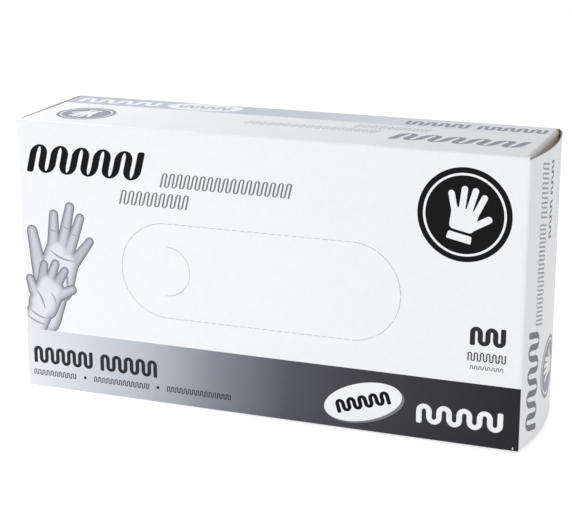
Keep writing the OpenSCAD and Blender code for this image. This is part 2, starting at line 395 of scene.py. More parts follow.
def triangulate(outline, inks, holes, grid):
    """Points, triangles and their inks, with the edges of every printed shape and hole in the mesh.

    It works in grid cells made square, so that triangles in narrow cells don't skew."""
    cell = np.array(grid, float)
    points, edges = [], []
    for loop in [outline, *holes, *[loop for _, loop in inks]]:
        loop = dense(loop, grid)
        first = len(points)
        points += [Vector(q / cell) for q in np.array(loop)]
        edges += [(first + k, first + (k + 1) % len(loop)) for k in range(len(loop))]
    q = np.array(outline)
    low, high = q.min(0), q.max(0)
    count = np.maximum(((high - low) / grid).astype(int), 1)
    lines = [np.linspace(low[k], high[k], count[k] + 1) for k in (0, 1)]
    free = np.stack(np.meshgrid(*lines), -1).reshape(-1, 2)
    points += [Vector(p / cell) for p in free[inside(outline, free)]]
    flat, _, faces, *_ = delaunay_2d_cdt(points, edges, [], 0, 1e-6, False)
    flat = np.array([tuple(p) for p in flat]) * cell
    faces = np.array([f for f in faces if len(f) == 3])
    a, b, c = (flat[faces[:, k]] for k in (0, 1, 2))
    area = (b[:, 0] - a[:, 0]) * (c[:, 1] - a[:, 1]) - (b[:, 1] - a[:, 1]) * (c[:, 0] - a[:, 0])
    faces[area < 0] = faces[area < 0][:, ::-1]
    middle = (a + b + c) / 3
    keep = inside(outline, middle) & (np.abs(area) > 1e-7)
    for hole in holes:
        keep &= ~inside(hole, middle)
    ink_of = np.full(len(faces), -1)
    for k, (_, loop) in enumerate(inks):
        ink_of[inside(loop, middle)] = k
    return flat, faces[keep], ink_of[keep]


def free_edges(faces):
    """The directed edges that only one face has."""
    edges = {}
    for f in faces:
        for k in range(3):
            a, b = int(f[k]), int(f[(k + 1) % 3])
            key = (min(a, b), max(a, b))
            edges[key] = None if key in edges else (a, b)
    return [e for e in edges.values() if e]


def sheet_arrays(outline, place, inks=(), holes=(), grid=(4, 4)):
    """Points, faces, loop normals and kinds of face: an ink's index, -1 outer, -2 inner or -3 edge."""
    flat, faces, ink_of = triangulate(outline, list(inks), list(holes), grid)
    used = np.unique(faces)
    renumber = np.full(len(flat), -1)
    renumber[used] = np.arange(len(used))
    flat, faces = flat[used], renumber[faces]
    u, v, n = flat[:, 0], flat[:, 1], len(flat)
    zero, one, step = np.zeros(n), np.ones(n), 0.01

    def normals(w):
        across = place(u + step, v, w) - place(u - step, v, w)
        along = place(u, v + step, w) - place(u, v - step, w)
        m = np.cross(across, along)
        return m / np.linalg.norm(m, axis=1)[:, None]

    outer, inner = place(u, v, zero), place(u, v, one)
    out_n, in_n = normals(zero), normals(one)
    flipped = ((outer - inner) * out_n).sum() < 0
    if flipped:
        out_n, in_n = -out_n, -in_n
    front = faces[:, ::-1] if flipped else faces
    points = np.vstack([outer, inner])
    all_faces = [tuple(f) for f in front] + [tuple(f[::-1] + n) for f in front]
    loop_normals = [out_n[i] for f in front for i in f] + [-in_n[i] for f in front for i in f[::-1]]
    kinds = list(ink_of) + [-2] * len(front)
    for a, b in free_edges(front):
        all_faces.append((b, a, a + n, b + n))
        wall = np.cross(points[a] - points[b], points[a + n] - points[b])
        wall = wall / max(np.linalg.norm(wall), 1e-12)
        loop_normals += [wall] * 4
        kinds.append(-3)
    return points, all_faces, loop_normals, kinds


def link_object(name, data):
    placed = bpy.data.objects.new(name, data)
    bpy.context.scene.collection.objects.link(placed)
    return placed


def make_mesh(name, points, faces, loop_normals, material_of, materials):
    mesh = bpy.data.meshes.new(name)
    mesh.from_pydata([tuple(p) for p in points * MM], [], faces)
    for m in materials:
        mesh.materials.append(m)
    mesh.polygons.foreach_set("material_index", np.array(material_of, np.int32))
    mesh.polygons.foreach_set("use_smooth", np.ones(len(faces), bool))
    mesh.update()
    mesh.normals_split_custom_set([tuple(n) for n in loop_normals])
    return link_object(name, mesh)


def board_sheet(name, outline, place, inks=(), holes=(), grid=(4, 4), edge="board_edge"):
    """A piece of boxboard: coated and printed outside, raw inside and at its edges."""
    inks = list(inks)
    points, faces, normals, kinds = sheet_arrays(outline, place, inks, holes, grid)
    names = ["board_white", "board_inside", edge] + sorted({ink for ink, _ in inks})
    fixed = {-1: 0, -2: 1, -3: 2}
    index = [fixed[k] if k < 0 else names.index(inks[k][0]) for k in kinds]
    return make_mesh(name, points, faces, normals, index, [material(n) for n in names])


# -------------------- materials

# Display colours of the coated board and of the inks on it
INKS = {
    "board_white": (238, 239, 242), "ink_black": (9, 9, 11), "ink_dark": (44, 43, 48),
    "ink_grey": (112, 114, 122), "ink_mid": (150, 153, 162), "ink_pale": (186, 189, 198),
    "ink_faint": (212, 215, 223), "ink_shadow": (118, 119, 126), "ink_white": (238, 239, 242),
    # crushed_board is the grey ring along the knife cuts: partly crushed board, partly painted shade of the
    # thin slits
    "crushed_board": (229, 230, 234),
}
ART_TONES = (100, 138, 163, 182, 198, 210, 219)  # greys of the drawing, from its rims inward
INKS.update({f"art_{k}": (tone, tone + 3, tone + 10) for k, tone in enumerate(ART_TONES)})
DARK_INK = 330  # a sum of the three colours below which ink is dark

# The band's ink along X in millimetres, on the front and on the top
BAND_STOPS = [
    (-118, (222, 226, 230)), (-104, (216, 219, 225)), (-58, (184, 188, 198)), (-22, (130, 134, 145)),
    (14, (82, 82, 90)), (50, (60, 59, 65)), (118, (37, 36, 41)),
]
TOP_BAND_STOPS = [(-118, (186, 189, 199)), (0, (203, 207, 216)), (118, (238, 239, 243))]

NOISE_LOW, NOISE_HIGH = 0.3, 0.7  # most of a noise lies between these
made_materials = {}


def linear(r, g, b):
    """Linear colour from display values of 0 to 255."""
    shares = [c / 255 for c in (r, g, b)]
    return tuple(((c + 0.055) / 1.055) ** 2.4 if c > 10 / 255 else c / 12.92 for c in shares) + (1.0,)


def shaded(colour, factor):
    return tuple(c * factor for c in colour[:3]) + (1.0,)


class Surface:
    """A material in the making: its shader, and the nodes that feed it."""

    def __init__(self, name):
        self.material = bpy.data.materials.new(name)
        self.material.use_nodes = True
        self.tree = self.material.node_tree
        self.tree.nodes.clear()
        out = self.node("ShaderNodeOutputMaterial")
        self.shader = self.node("ShaderNodeBsdfPrincipled")
        self.fill(out, {"Surface": self.shader.outputs["BSDF"]})
        self.where = self.node("ShaderNodeTexCoord").outputs["Object"]  # in metres

    def fill(self, node, inputs):
        """Sets a node's inputs to values, or links them to the outputs of other nodes."""
        for key, value in inputs.items():
            if isinstance(value, bpy.types.NodeSocket):
                self.tree.links.new(value, node.inputs[key])
            else:
                node.inputs[key].default_value = value

    def node(self, kind, inputs=None, **settings):
        node = self.tree.nodes.new(kind)
        for key, value in settings.items():
            setattr(node, key, value)
        self.fill(node, inputs or {})
        return node

    def noise(self, scale, detail=3.0, roughness=0.55, where=None):
        where = self.where if where is None else where
        inputs = {"Vector": where, "Scale": scale, "Detail": detail, "Roughness": roughness}
        return self.node("ShaderNodeTexNoise", inputs).outputs["Fac"]

    def ramp(self, fac, stops):
        """Colours along a ramp, given as (place, colour)."""
        node = self.node("ShaderNodeValToRGB", {"Fac": fac})
        elements = node.color_ramp.elements
        elements[0].position, elements[0].color = stops[0]
        elements[1].position, elements[1].color = stops[-1]
        for place, colour in stops[1:-1]:
            elements.new(place).color = colour
        return node.outputs["Color"]

    def vary(self, value, to_low, to_high, low=NOISE_LOW, high=NOISE_HIGH):
        """A noise, or another value with a range of its own, brought to the range to_low to to_high."""
        inputs = {"Value": value, "From Min": low, "From Max": high, "To Min": to_low, "To Max": to_high}
        return self.node("ShaderNodeMapRange", inputs).outputs["Result"]

    def bump(self, height, strength, distance, over=None):
        """Fine relief, by itself or over another; distance in metres."""
        inputs = {"Height": height, "Strength": strength, "Distance": distance}
        if over is not None:
            inputs["Normal"] = over
        return self.node("ShaderNodeBump", inputs).outputs["Normal"]

    def finished(self, inputs):
        """The material, with the inputs of its shader filled."""
        self.fill(self.shader, inputs)
        return self.material

    def paper(self, colour, roughness, specular):
        """Coated paper, with a gloss that varies and the fine relief of its fibres."""
        return self.finished({
            "Base Color": colour,
            "Roughness": self.vary(self.noise(scale=260, detail=2), *roughness),
            "Specular IOR Level": specular,
            "Normal": self.bump(self.noise(scale=1500, detail=4), strength=0.12, distance=0.00008),
        })


def printed(name, colour):
    """Coated board, or ink on it: an even tone with a faint mottle of fibres under it."""
    s = Surface(name)
    dark = sum(colour) < DARK_INK
    spread = 0.10 if dark else 0.018
    tone = linear(*colour)
    stops = [(NOISE_LOW, shaded(tone, 1 - spread)), (NOISE_HIGH, shaded(tone, 1 + spread / 2))]
    mottle = s.noise(scale=420, detail=5, roughness=0.65)
    return s.paper(s.ramp(mottle, stops), roughness=(0.42, 0.58), specular=0.12 if dark else 0.3)


def gradient(name, stops):
    """Ink that changes tone along X. stops are (x in millimetres, colour)."""
    s = Surface(name)
    x = s.node("ShaderNodeSeparateXYZ", {"Vector": s.where}).outputs["X"]
    grain = s.vary(s.noise(scale=700, detail=4), -0.7 * MM, 0.7 * MM)
    along = s.node("ShaderNodeMath", {0: x, 1: grain}, operation="ADD").outputs["Value"]
    share = s.vary(along, 0, 1, low=-END_X * MM, high=END_X * MM)
    places = [((x_mm + END_X) / (2 * END_X), linear(*colour)) for x_mm, colour in stops]
    return s.paper(s.ramp(share, places), roughness=(0.42, 0.56), specular=0.14)


def raw_board(name, dark, light, scale):
    """Uncoated grey-brown board with flecks and fibres."""
    s = Surface(name)
    stretched = s.node("ShaderNodeMapping", {"Vector": s.where, "Scale": (1, 1, 3)}).outputs["Vector"]
    fibre = s.noise(scale, detail=8, roughness=0.7, where=stretched)
    middle = [(a + b) / 2 for a, b in zip(dark, light)]
    return s.finished({
        "Base Color": s.ramp(fibre, [(0.32, linear(*dark)), (0.5, linear(*middle)), (0.68, linear(*light))]),
        "Roughness": s.vary(fibre, 0.8, 0.95),
        "Specular IOR Level": 0.2,
        "Normal": s.bump(fibre, strength=0.35, distance=0.0001),
    })


def nitrile():
    """Black nitrile film: soft sheen, and the fine relief of its folds and of its rough surface."""
    s = Surface("nitrile")
    fine = s.bump(s.noise(scale=1100), strength=0.25, distance=0.00012)
    creased = s.noise(scale=70, detail=4, roughness=0.6)
    tones = [(NOISE_LOW, linear(15, 15, 17)), (0.75, linear(29, 29, 32))]
    return s.finished({
        "Base Color": s.ramp(s.noise(scale=45, detail=4), tones),
        "Roughness": s.vary(s.noise(scale=130), 0.3, 0.46),
        "Specular IOR Level": 0.5,
        "Sheen Weight": 0.12,
        "Sheen Roughness": 0.5,
        "Normal": s.bump(creased, strength=0.9, distance=0.0022, over=fine),
    })


def glue():
    """Dried cold glue: amber-white, glossy and unevenly spread."""
    s = Surface("glue")
    spread = s.noise(scale=220)
    tones = [(NOISE_LOW, linear(196, 184, 150)), (NOISE_HIGH, linear(232, 226, 205))]
    return s.finished({"Base Color": s.ramp(spread, tones), "Roughness": s.vary(spread, 0.2, 0.4)})


def material(name):
    """The board or ink of that name, made when it is first used."""
    if name not in made_materials:
        made_materials[name] = printed(name, INKS[name])
    return made_materials[name]


made_materials["board_inside"] = raw_board("board_inside", (166, 157, 146), (204, 197, 186), 900)
made_materials["board_edge"] = raw_board("board_edge", (146, 126, 106), (190, 174, 155), 1400)
made_materials["band_front"] = gradient("band_front", BAND_STOPS)
made_materials["band_back"] = gradient("band_back", [(-x, colour) for x, colour in BAND_STOPS[::-1]])
made_materials["band_top"] = gradient("band_top", TOP_BAND_STOPS)

# -------------------- print

# Pens of the waves that stand in for words: the width of a stem, and the thickness of a join
PENS = {
    "title": (3.5, 1.0), "end_title": (3.0, 1.1), "light": (0.85, 0.4), "grade": (1.9, 1.6),
    "count": (2.3, 1.9), "unit": (0.6, 0.5), "weight": (0.34, 0.28), "note": (0.5, 0.4),
    "text": (0.42, 0.34), "material": (1.9, 1.5), "top_material": (1.8, 1.4), "size": (2.5, 2.2),
    "top_size": (2.5, 2.1), "end_grade": (1.2, 1.0), "end_note": (0.8, 0.6),
}
SLANT = 14  # degrees, of the title
END_SLANT = 12
BAND_TOP = 29.0
TOP_BAND_Y = 13
TITLE_AT = (-115.2, 105.6)
ROUND = 64  # points round a badge


def wave(ink, pen, x0, x1, base, height, count, slant=0.0):
    """Stands in for a word: a running wave of slanted stems, joined in turn at top and bottom."""
    stem, join = PENS[pen]
    step = (x1 - x0 - stem) / (count - 1)
    rx = (step + stem) / 2
    ry = min(rx, 0.4 * height)
    steps = 14 if height > 4 else 8
    out = []
    for k in range(count):
        x, low, high = k * step, ry, height - ry
        if k == 0 or k == count - 1 and k % 2:
            low = 0
        elif k == count - 1:
            high = height
        low_r = 0 if low else 0.3 * stem
        high_r = 0.3 * stem if high == height else 0
        corners = [(x, low, low_r), (x + stem, low, low_r), (x + stem, high, high_r), (x, high, high_r)]
        out.append(rounded(corners, 3))
        if k < count - 1:
            centre, start = ((x + rx, ry), 180) if k % 2 else ((x + rx, height - ry), 0)
            out.append(half_oval(centre, rx, ry, start, steps)
                       + half_oval(centre, rx - stem, ry - join, start, steps)[::-1])
    return [(ink, [(x0 + x, base + y) for x, y in sheared(loop, slant)]) for loop in out]


def glove_badge(r, disc_ink, mark_ink):
    """A round badge with a plain upright glove in it, which is drawn for a radius of 20."""
    fingers = [(-4.6, 1, -7.4, 7.4), (-1.6, 2, -2.4, 10.6), (1.5, 2, 2.2, 11.0), (4.4, 1, 6.4, 9.2)]
    thumb = capsule(4.2, -4.5, 10.2, 0.8, 1.5)
    palm = rounded([(-6, 2.6, 2), (-5.2, -7, 2), (5.2, -7, 2), (5.9, 2.6, 2)])
    cuff = rounded([(-5.0, -8.2, 0.6), (-5.4, -11.5, 0.6), (5.4, -11.5, 0.6), (5.0, -8.2, 0.6)])
    glove = [capsule(*finger, 1.35) for finger in fingers] + [thumb, palm, cuff]
    rings = [(disc_ink, 1), (mark_ink, 0.88), (disc_ink, 0.83)]
    k = r / 20
    return ([(ink, disc(0, 0, r * share, ROUND)) for ink, share in rings]
            + [(mark_ink, [(x * k, y * k) for x, y in loop]) for loop in glove])


def oval(rx, ry, ink):
    return [(ink, [(rx * x, ry * y) for x, y in disc(0, 0, 1, ROUND)])]


ART_INSETS = (0.0, 0.3, 0.75, 1.3, 1.95, 2.7, 3.6)  # of the drawing's tones from a limb's rim
ART_LIGHT = (-0.12, 0.1)  # how far the lighter tones shift for each mm of inset
THINNEST_LIMB = 0.35


def drawn_glove(limbs, folds):
    """An empty glove as a soft drawing. Limbs (x0, y0, x1, y1, r, r_end) lighten inward from their rims,
    and folds are (width, start, middle, end)."""
    inks = []
    for tone, inset in enumerate(ART_INSETS):
        dx, dy = ART_LIGHT[0] * inset, ART_LIGHT[1] * inset
        for x0, y0, x1, y1, r, r_end in limbs:
            if min(r, r_end) - inset > THINNEST_LIMB:
                limb = capsule(x0 + dx, y0 + dy, x1 + dx, y1 + dy, r - inset, r_end - inset)
                inks.append((f"art_{tone}", limb))
    for ink, share in (("art_3", 1.9), ("art_1", 0.8)):
        inks += [(ink, stroke(curve(*line), width * share)) for width, *line in folds]
    return inks


def glove_drawing():
    """Two empty gloves of a plain design, one in front of the other, in greys."""
    upright_limbs = [
        (-3.2, 30, -7.2, 49, 3.7, 2.5), (0.6, 32, 0.2, 55.5, 3.5, 2.5), (4.4, 31, 6.6, 52, 3.4, 2.4),
        (7.6, 27, 14.2, 42.5, 3.4, 2.2), (-7.0, 16, -16.6, 37, 4.6, 2.9), (-1.5, 14, -1.0, 31, 8.6, 7.0),
        (3.2, 14, 4.6, 28, 8.2, 6.6), (0, -4, 0.8, 14, 8.4, 8.6),
    ]
    upright_folds = [
        (0.7, (-9.6, 22), (-4, 20), (-2.5, 12)), (0.6, (-5.5, 31), (1, 27.5), (9, 30)),
        (0.8, (4, 25), (7.6, 20), (8.4, 12)), (0.7, (-7, 9), (1, 6.6), (8, 9.4)),
        (0.5, (-6, 5), (0, 3.2), (6.5, 5.2)), (0.45, (-7.6, 41), (-6, 40.4), (-4, 41.4)),
        (0.45, (-1.6, 45), (0.3, 44.2), (2.2, 45)), (0.45, (3.8, 43), (5.6, 42.3), (7.2, 43.2)),
    ]
    crossing_limbs = [
        (-4.5, 17, -6.6, 25, 3.0, 2.3), (-0.6, 18, -1.0, 28.5, 3.0, 2.4), (3.4, 18, 5.0, 27.6, 3.0, 2.3),
        (-6.5, 9, -11.0, 14, 3.3, 2.4), (7.0, 14, 12.6, 20.5, 3.4, 2.5), (-1.2, 4, -1.0, 16, 6.6, 6.2),
        (2.6, 4, 3.4, 15, 6.8, 6.2), (0, -16, 0.6, 4, 7.4, 7.2),
    ]
    crossing_folds = [
        (0.7, (-5.5, 10), (-1, 8.4), (2.5, 3)), (0.6, (-6, -1), (0.5, -3.6), (7, -0.8)),
        (0.6, (-6, -5), (0, -7), (6.6, -4.6)), (0.5, (2, 13), (6, 11.6), (8, 7)),
    ]
    return (moved(drawn_glove(upright_limbs, upright_folds), -15, -107.5, 39.0, 0.96)
            + moved(drawn_glove(crossing_limbs, crossing_folds), -24, -112.0, 38.0, 0.92))


def title(ink, light_ink, x, z):
    """The large word and the two light words beside it. x and z are the large word's lower left corner."""
    return (wave(ink, "title", x, x + 57.5, z, 13.4, 11, SLANT)
            + wave(light_ink, "light", x + 67.5, x + 129.5, z - 2, 6.8, 34, SLANT)
            + wave(light_ink, "light", x + 47.0, x + 80.5, z - 11.4, 6.8, 18, SLANT))


def grade_words(ink):
    """The two bold words on the band."""
    return (wave(ink, "grade", -115.8, -84.6, 12.1, 8.4, 11)
            + wave(ink, "grade", -80.6, -51.3, 12.1, 8.4, 10))


def stripe(ink, low, high):
    """A stripe over a panel's whole length."""
    return (ink, rectangle(-END_X - 1, low, END_X + 1, high))


def front_print():
    """The front panel's print, in X and Z."""
    inks = glove_drawing() + title("ink_black", "ink_grey", *TITLE_AT)
    inks += moved(glove_badge(20.5, "ink_black", "ink_white"), -12, 92.6, 103.4)
    inks += wave("ink_dark", "count", 96.6, 112.3, 46.4, 8.5, 5)
    inks += wave("ink_dark", "unit", 95.8, 112.6, 39.2, 4.1, 13)
    inks += wave("ink_dark", "weight", 97.0, 111.6, 35.5, 1.8, 16)
    inks += [stripe("band_front", -2, BAND_TOP)] + grade_words("ink_dark")
    for x0, x1, count in ((-116.2, -93.7, 21), (-84.2, -55.7, 27), (-46.4, -14.4, 31)):
        inks += wave("ink_dark", "note", x0, x1, 5.9, 2.9, count)
    inks += [("ink_dark", disc(x, 7.4, 0.75, 12)) for x in (-88.9, -51.1)]
    badge = moved(oval(18.7, 8.4, "ink_shadow"), 0, 0.9, -1.3) + oval(18.7, 8.7, "ink_white")
    badge += wave("ink_black", "material", -13.0, 13.0, -3.2, 6.4, 10)
    inks += moved(badge, 17, 48.9, 13.75)
    inks += wave("ink_white", "size", 73.6, 112.4, 7.6, 9.2, 9)
    chips = ([(116.2, 0.2), (117.6, 0.2), (117.0, 2.2)],
             [(118.2, 0.2), (119.4, 0.2), (119.2, 3.6), (118.9, 1.6)])
    return inks + [("ink_white", chip) for chip in chips]


def bend_strips(ink, y, side, steps=7):
    """Narrow stripes over the rounded crease that ends a panel at y, so that the mesh follows its curve."""
    flat = y - side * CREASE_R
    edges = np.linspace(flat, flat + side * QUARTER, steps + 1)
    return [stripe(ink, low, high) for low, high in zip(edges, edges[1:])]


def top_print():
    """The top panel's print, in X and Y: the layout of the front, paler, and read from behind."""
    inks = bend_strips("board_white", FRONT_Y, -1) + bend_strips("band_top", BACK_Y, 1)
    inks.append(stripe("band_top", TOP_BAND_Y, BACK_Y - CREASE_R))
    words = title("ink_mid", "ink_pale", -114.0, 2.4)
    words += moved(grade_words("ink_mid"), 0, 0, -37.1)
    words += wave("ink_white", "top_size", 71.5, 113.5, -26, 8.8, 9)
    badge = oval(18.7, 8.4, "ink_white") + wave("ink_pale", "top_material", -13.0, 13.0, -3.2, 6.4, 10)
    inks += moved(words, 180) + moved(badge, 184, -48.4, 22.7)
    return inks + moved(glove_badge(14, "ink_mid", "ink_white"), 168, -94.8, -9.6)


def bottom_print():
    """The front band runs on round the front crease."""
    edge = stripe("band_front", FRONT_Y + CREASE_R, FRONT_Y + 2 * CREASE_R)
    return bend_strips("band_front", FRONT_Y, -1) + [edge] + bend_strips("board_white", SEAM_Y, 1)


def end_print():
    """A closure panel's print, in Y and Z, read upward."""
    words = wave("ink_grey", "end_title", 4.5, 50.0, 14.0, 13.0, 9, END_SLANT)
    words += wave("ink_mid", "light", 52.0, 97.0, 11.0, 9.0, 24, END_SLANT)
    words += wave("ink_mid", "light", 99.5, 123.5, 10.5, 9.0, 12, END_SLANT)
    words += wave("ink_grey", "end_grade", 89.0, 106.0, 2.2, 4.6, 8)
    words += wave("ink_grey", "end_grade", 108.5, 123.6, 2.2, 4.6, 7)
    words += wave("ink_faint", "end_note", 86.5, 121.5, -10.5, 4.4, 20)
    return moved(words, 90) + moved(glove_badge(14.5, "ink_mid", "ink_white"), 84, 5.0, 27.5)


def back_print():
    """The back panel's print, drawn as it is read from behind and then mirrored into X and Z."""
    inks = title("ink_black", "ink_grey", *TITLE_AT)
    for k in range(7):
        z = 86 - 7.2 * k
        inks += wave("ink_grey", "text", -115, -14 - 9 * (k % 3), z, 2.6, 78 - 7 * (k % 3))
        inks += wave("ink_grey", "text", 6, 112 - 11 * (k % 2), z, 2.6, 82 - 8 * (k % 2))
    inks += moved(glove_badge(14, "ink_black", "ink_white"), -12, 96, 109)
    inks += [stripe("band_back", -2, BAND_TOP)] + grade_words("ink_dark")
    return mirrored(inks + wave("ink_white", "size", 73.6, 112.4, 7.6, 9.2, 9))


# -------------------- the tear-out


def slot_edge(length, offset):
    """A point of the stadium line at a length round it from the lower left, moved outward by offset."""
    half, along = divmod(length, SLOT_RUN + HALF_TURN)
    side = -1 if half % 2 else 1  # the second half of the line is the first one turned round
    r = SLOT_R + offset
    if along < SLOT_RUN:
        x, z = along - SLOT_RUN / 2, -r
    else:
        a = (along - SLOT_RUN) / SLOT_R - math.pi / 2
        x, z = SLOT_RUN / 2 + r * math.cos(a), r * math.sin(a)
    return SLOT_X + side * x, SLOT_Z + side * z


def perforation():
    """(start, end) lengths of the cuts: short ones on the straight runs, and long ones round the ends."""
    cuts, start = [], 0
    for run, (period, tie) in 2 * ((SLOT_RUN, STRAIGHT_CUTS), (HALF_TURN, ROUND_CUTS)):
        count = round(run / period)
        for k in range(count):
            cuts.append((start + run * k / count + tie / 2, start + run * (k + 1) / count - tie / 2))
        start += run
    return cuts


def slot_loop(offset):
    total = 2 * (SLOT_RUN + HALF_TURN)
    count = round(total / CUT_STEP)
    return [slot_edge(total * k / count, offset) for k in range(count)]


def tear_outline():
    """The tear-out's outline: back from the cuts, and out to the front panel at the ties."""
    out = []
    for start, end in perforation():
        steps = max(1, round((end - start) / CUT_STEP))
        out.append(slot_edge(start, -TIE_GAP))
        out += [slot_edge(start + (end - start) * k / steps, -CUT) for k in range(steps + 1)]
        out.append(slot_edge(end, -TIE_GAP))
    return out


def tab_arc(r):
    """The tab's round edge, or a line beside it."""
    return arc((TAB_X, SLOT_Z), r, -90, 90, TAB_STEPS)


def tab_outline():
    """The tab beyond its crease."""
    r = TAB_R - CUT
    half = math.degrees(math.acos(TAB_FOLD_OUT / r))
    return arc((TAB_X, SLOT_Z), r, -half, half, TAB_STEPS)


# -------------------- pieces of board


def panel(name, outline, place, inks=(), holes=(), grid=(4, 4), body="carton"):
    piece = board_sheet(name + "_board", outline, place, inks, holes, grid)
    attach(piece, body)
    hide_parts(name)


def outer_point(place, u, v):
    """A point of a sheet's outer face, in metres."""
    return tuple(place(np.array([u]), np.array([v]), np.array([0.0]))[0] * MM)


def crease(name, outline, place, inks=(), grid=(0.2, 6), edge="board_edge"):
    """A strip of board over a crease between two bodies, laid as at rest and baked in place."""
    piece = board_sheet(name, outline, place, inks, (), grid, edge)
    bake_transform(piece)


def flat_end_outline(y_low, y_high, upper):
    """A long narrow panel, whose ends stop where the dust flaps bend and reach on beside them."""
    out = []
    for side in (1, -1):
        flap = next(f for f in flaps if f.side == side and f.upper == upper)
        bend = DUST_X - DUST_R
        notch = [(DUST_X, flap.y0), (bend, flap.y0), (bend, flap.y1), (DUST_X, flap.y1)]
        run = [(DUST_X, y_low), *notch, (DUST_X, y_high)][::side]
        out += [(side * x, y) for x, y in run]
    return out


def front_panel():
    outline = rectangle(-closures[-1].hinge_x, CREASE_R, closures[1].hinge_x, HEIGHT - CREASE_R)
    # A ring of painted shade along the slot's cut, partly crushed board
    cut_rim = [("crushed_board", slot_loop(0.22))]
    panel("front_panel", outline, front_place, front_print() + cut_rim, [slot_loop(0)])


def tear_out():
    """The tear-out panel, its finger tab, and the crease that the tab turns on."""
    fold_x = TAB_X - TAB_FOLD_IN
    tab_hole = [(fold_x, SLOT_Z - TAB_R)] + tab_arc(TAB_R) + [(fold_x, SLOT_Z + TAB_R)]
    # Rings of painted shade along the cuts, partly crushed board, with white board again inside them
    crush_and_shade_rings = [("crushed_board", slot_loop(0.5)), ("board_white", slot_loop(-CUT - 0.16)),
               ("crushed_board", tab_arc(TAB_R + 0.25))]
    panel("dispensing_panel", tear_outline(), front_place, crush_and_shade_rings, [tab_hole], body="dispensing_panel")
    crush_and_shade_rings = [("crushed_board", tab_arc(TAB_R + 1)), ("board_white", tab_arc(TAB_R - CUT - 0.2))]
    panel("finger_tab", tab_outline(), front_place, crush_and_shade_rings, (), (2, 2), "finger_tab")
    strip = rectangle(fold_x, SLOT_Z - TAB_R + 0.1, TAB_X + TAB_FOLD_OUT, SLOT_Z + TAB_R - 0.12)
    crease("finger_tab_crease", strip, front_place)


def long_panels():
    front_end = FRONT_Y + CREASE_R - QUARTER
    top_outline = flat_end_outline(front_end, BACK_Y - CREASE_R + QUARTER, True)
    panel("top_panel", top_outline, top_place, top_print())
    bottom_outline = flat_end_outline(front_end, SEAM_Y - CREASE_R + QUARTER, False)
    panel("bottom_panel", bottom_outline, bottom_place, bottom_print())
    back_outline = rectangle(back_low[0], back_low[2], back_high[0], HEIGHT - CREASE_R)
    panel("back_panel", back_outline, back_place, back_print())
    (x0, _, _), (x1, _, high) = glue_low, glue_high
    slope = (high - CREASE_R) / 2
    glue_outline = [(x0, CREASE_R), (x1, CREASE_R), (x1 - slope, high), (x0 + slope, high)]
    panel("glue_flap", glue_outline, glue_place)


def closure_pieces(end):
    """One end panel, its tuck flap, and the creases that they turn on."""
    body, tuck = f"{end.name}_closure", f"{end.name}_tuck"
    low, high = end.low, end.high
    outline = rounded([(END_Y, low, 0), (TUCK_Y, low, 0.6), (TUCK_Y, high, 0.6), (END_Y, high, 0)])
    inks = end_print() if end.side > 0 else mirrored(end_print())
    panel(f"{end.name}_end_panel", outline, end.panel_place, inks, (), (3, 4), body)
    tuck_r = 9
    outline = rounded([(end.tuck_flap_s, end.tuck_low, 0), (end.end_s, end.tuck_low, tuck_r),
                       (end.end_s, end.tuck_high, tuck_r), (end.tuck_flap_s, end.tuck_high, 0)])
    panel(f"{end.name}_tuck_flap", outline, end.place, body=tuck)
    strip = rectangle(0, CREASE_R, end.hinge_s, HEIGHT - CREASE_R)
    ends = [outer_point(end.place, s, 0.0) for s in (0, end.hinge_s)]
    band_end = [("band_front", rectangle(-1, -1, end.hinge_s / 2, BAND_TOP))]
    # The left crease's edges take the grey of the painted cut shade instead of raw board
    edge = "board_edge" if end.side > 0 else "crushed_board"
    crease(f"{body}_crease", strip, end.place, band_end, edge=edge)
    strip = rectangle(end.tuck_s, end.tuck_low, end.tuck_flap_s, end.tuck_high)
    ends = [outer_point(end.place, s, 0.0) for s in (end.tuck_s, end.tuck_flap_s)]
    crease(f"{tuck}_crease", strip, end.place)


def dust_flap_pieces(flap):
    """One dust flap, with a slanted front edge, and the crease that it turns on."""
    slant, corner_r = 0.6, 5
    slant_y = flap.y0 + slant * (flap.end_s - flap.bend_s)
    outline = rounded([(flap.y0, flap.bend_s, 0), (flap.y1, flap.bend_s, 0),
                       (flap.y1 - BOARD, flap.end_s, corner_r), (slant_y, flap.end_s, corner_r)])
    panel(f"{flap.name}_flap", outline, flap.place, body=flap.name)
    strip = rectangle(flap.y0, 0, flap.y1, flap.bend_s)
    ends = [outer_point(flap.place, 0.0, s) for s in (0, flap.bend_s)]
    crease(f"{flap.name}_crease", strip, flap.place, grid=(6, 0.2))


closures = {side: Closure(side) for side in (1, -1)}
flaps = [DustFlap(side, upper) for side in (1, -1) for upper in (True, False)]
front_panel()
tear_out()
long_panels()
for closure in closures.values():
    closure_pieces(closure)
for dust_flap in flaps:
    dust_flap_pieces(dust_flap)

# -------------------- gloves

BUNDLES = 10
GLOVES_PER_BUNDLE = 10
GLOVES = BUNDLES * GLOVES_PER_BUNDLE
GLOVE_T = 0.2  # two walls of film
REST_GAP = 0.3  # under the gloves
TOP_GAP = 2  # over them
FINGER_LENGTHS = (56, 72, 78, 70)
FINGER_GAP = 0.8
THUMB_W, THUMB_L, THUMB_ANGLE = 24, 44, math.radians(12)
THUMB_BASE = 62  # along the glove
THUMB_BACK = 22  # from the fingers' roots to the thumb's
CUFF_L = 14  # how far in a cuff's waviness reaches
CUFF_INSET = 3  # how much a cuff is narrower than the palm, on each side
BEAD_R, BEAD_SIDES, BEAD_RINGS = 0.4, 8, 22  # a cuff's rolled edge
FINE_GLOVES = 3  # the first ones show through the slot, and get a finer grid
FINE_GRID, COARSE_GRID = (2.5, 2.5), (9, 9)

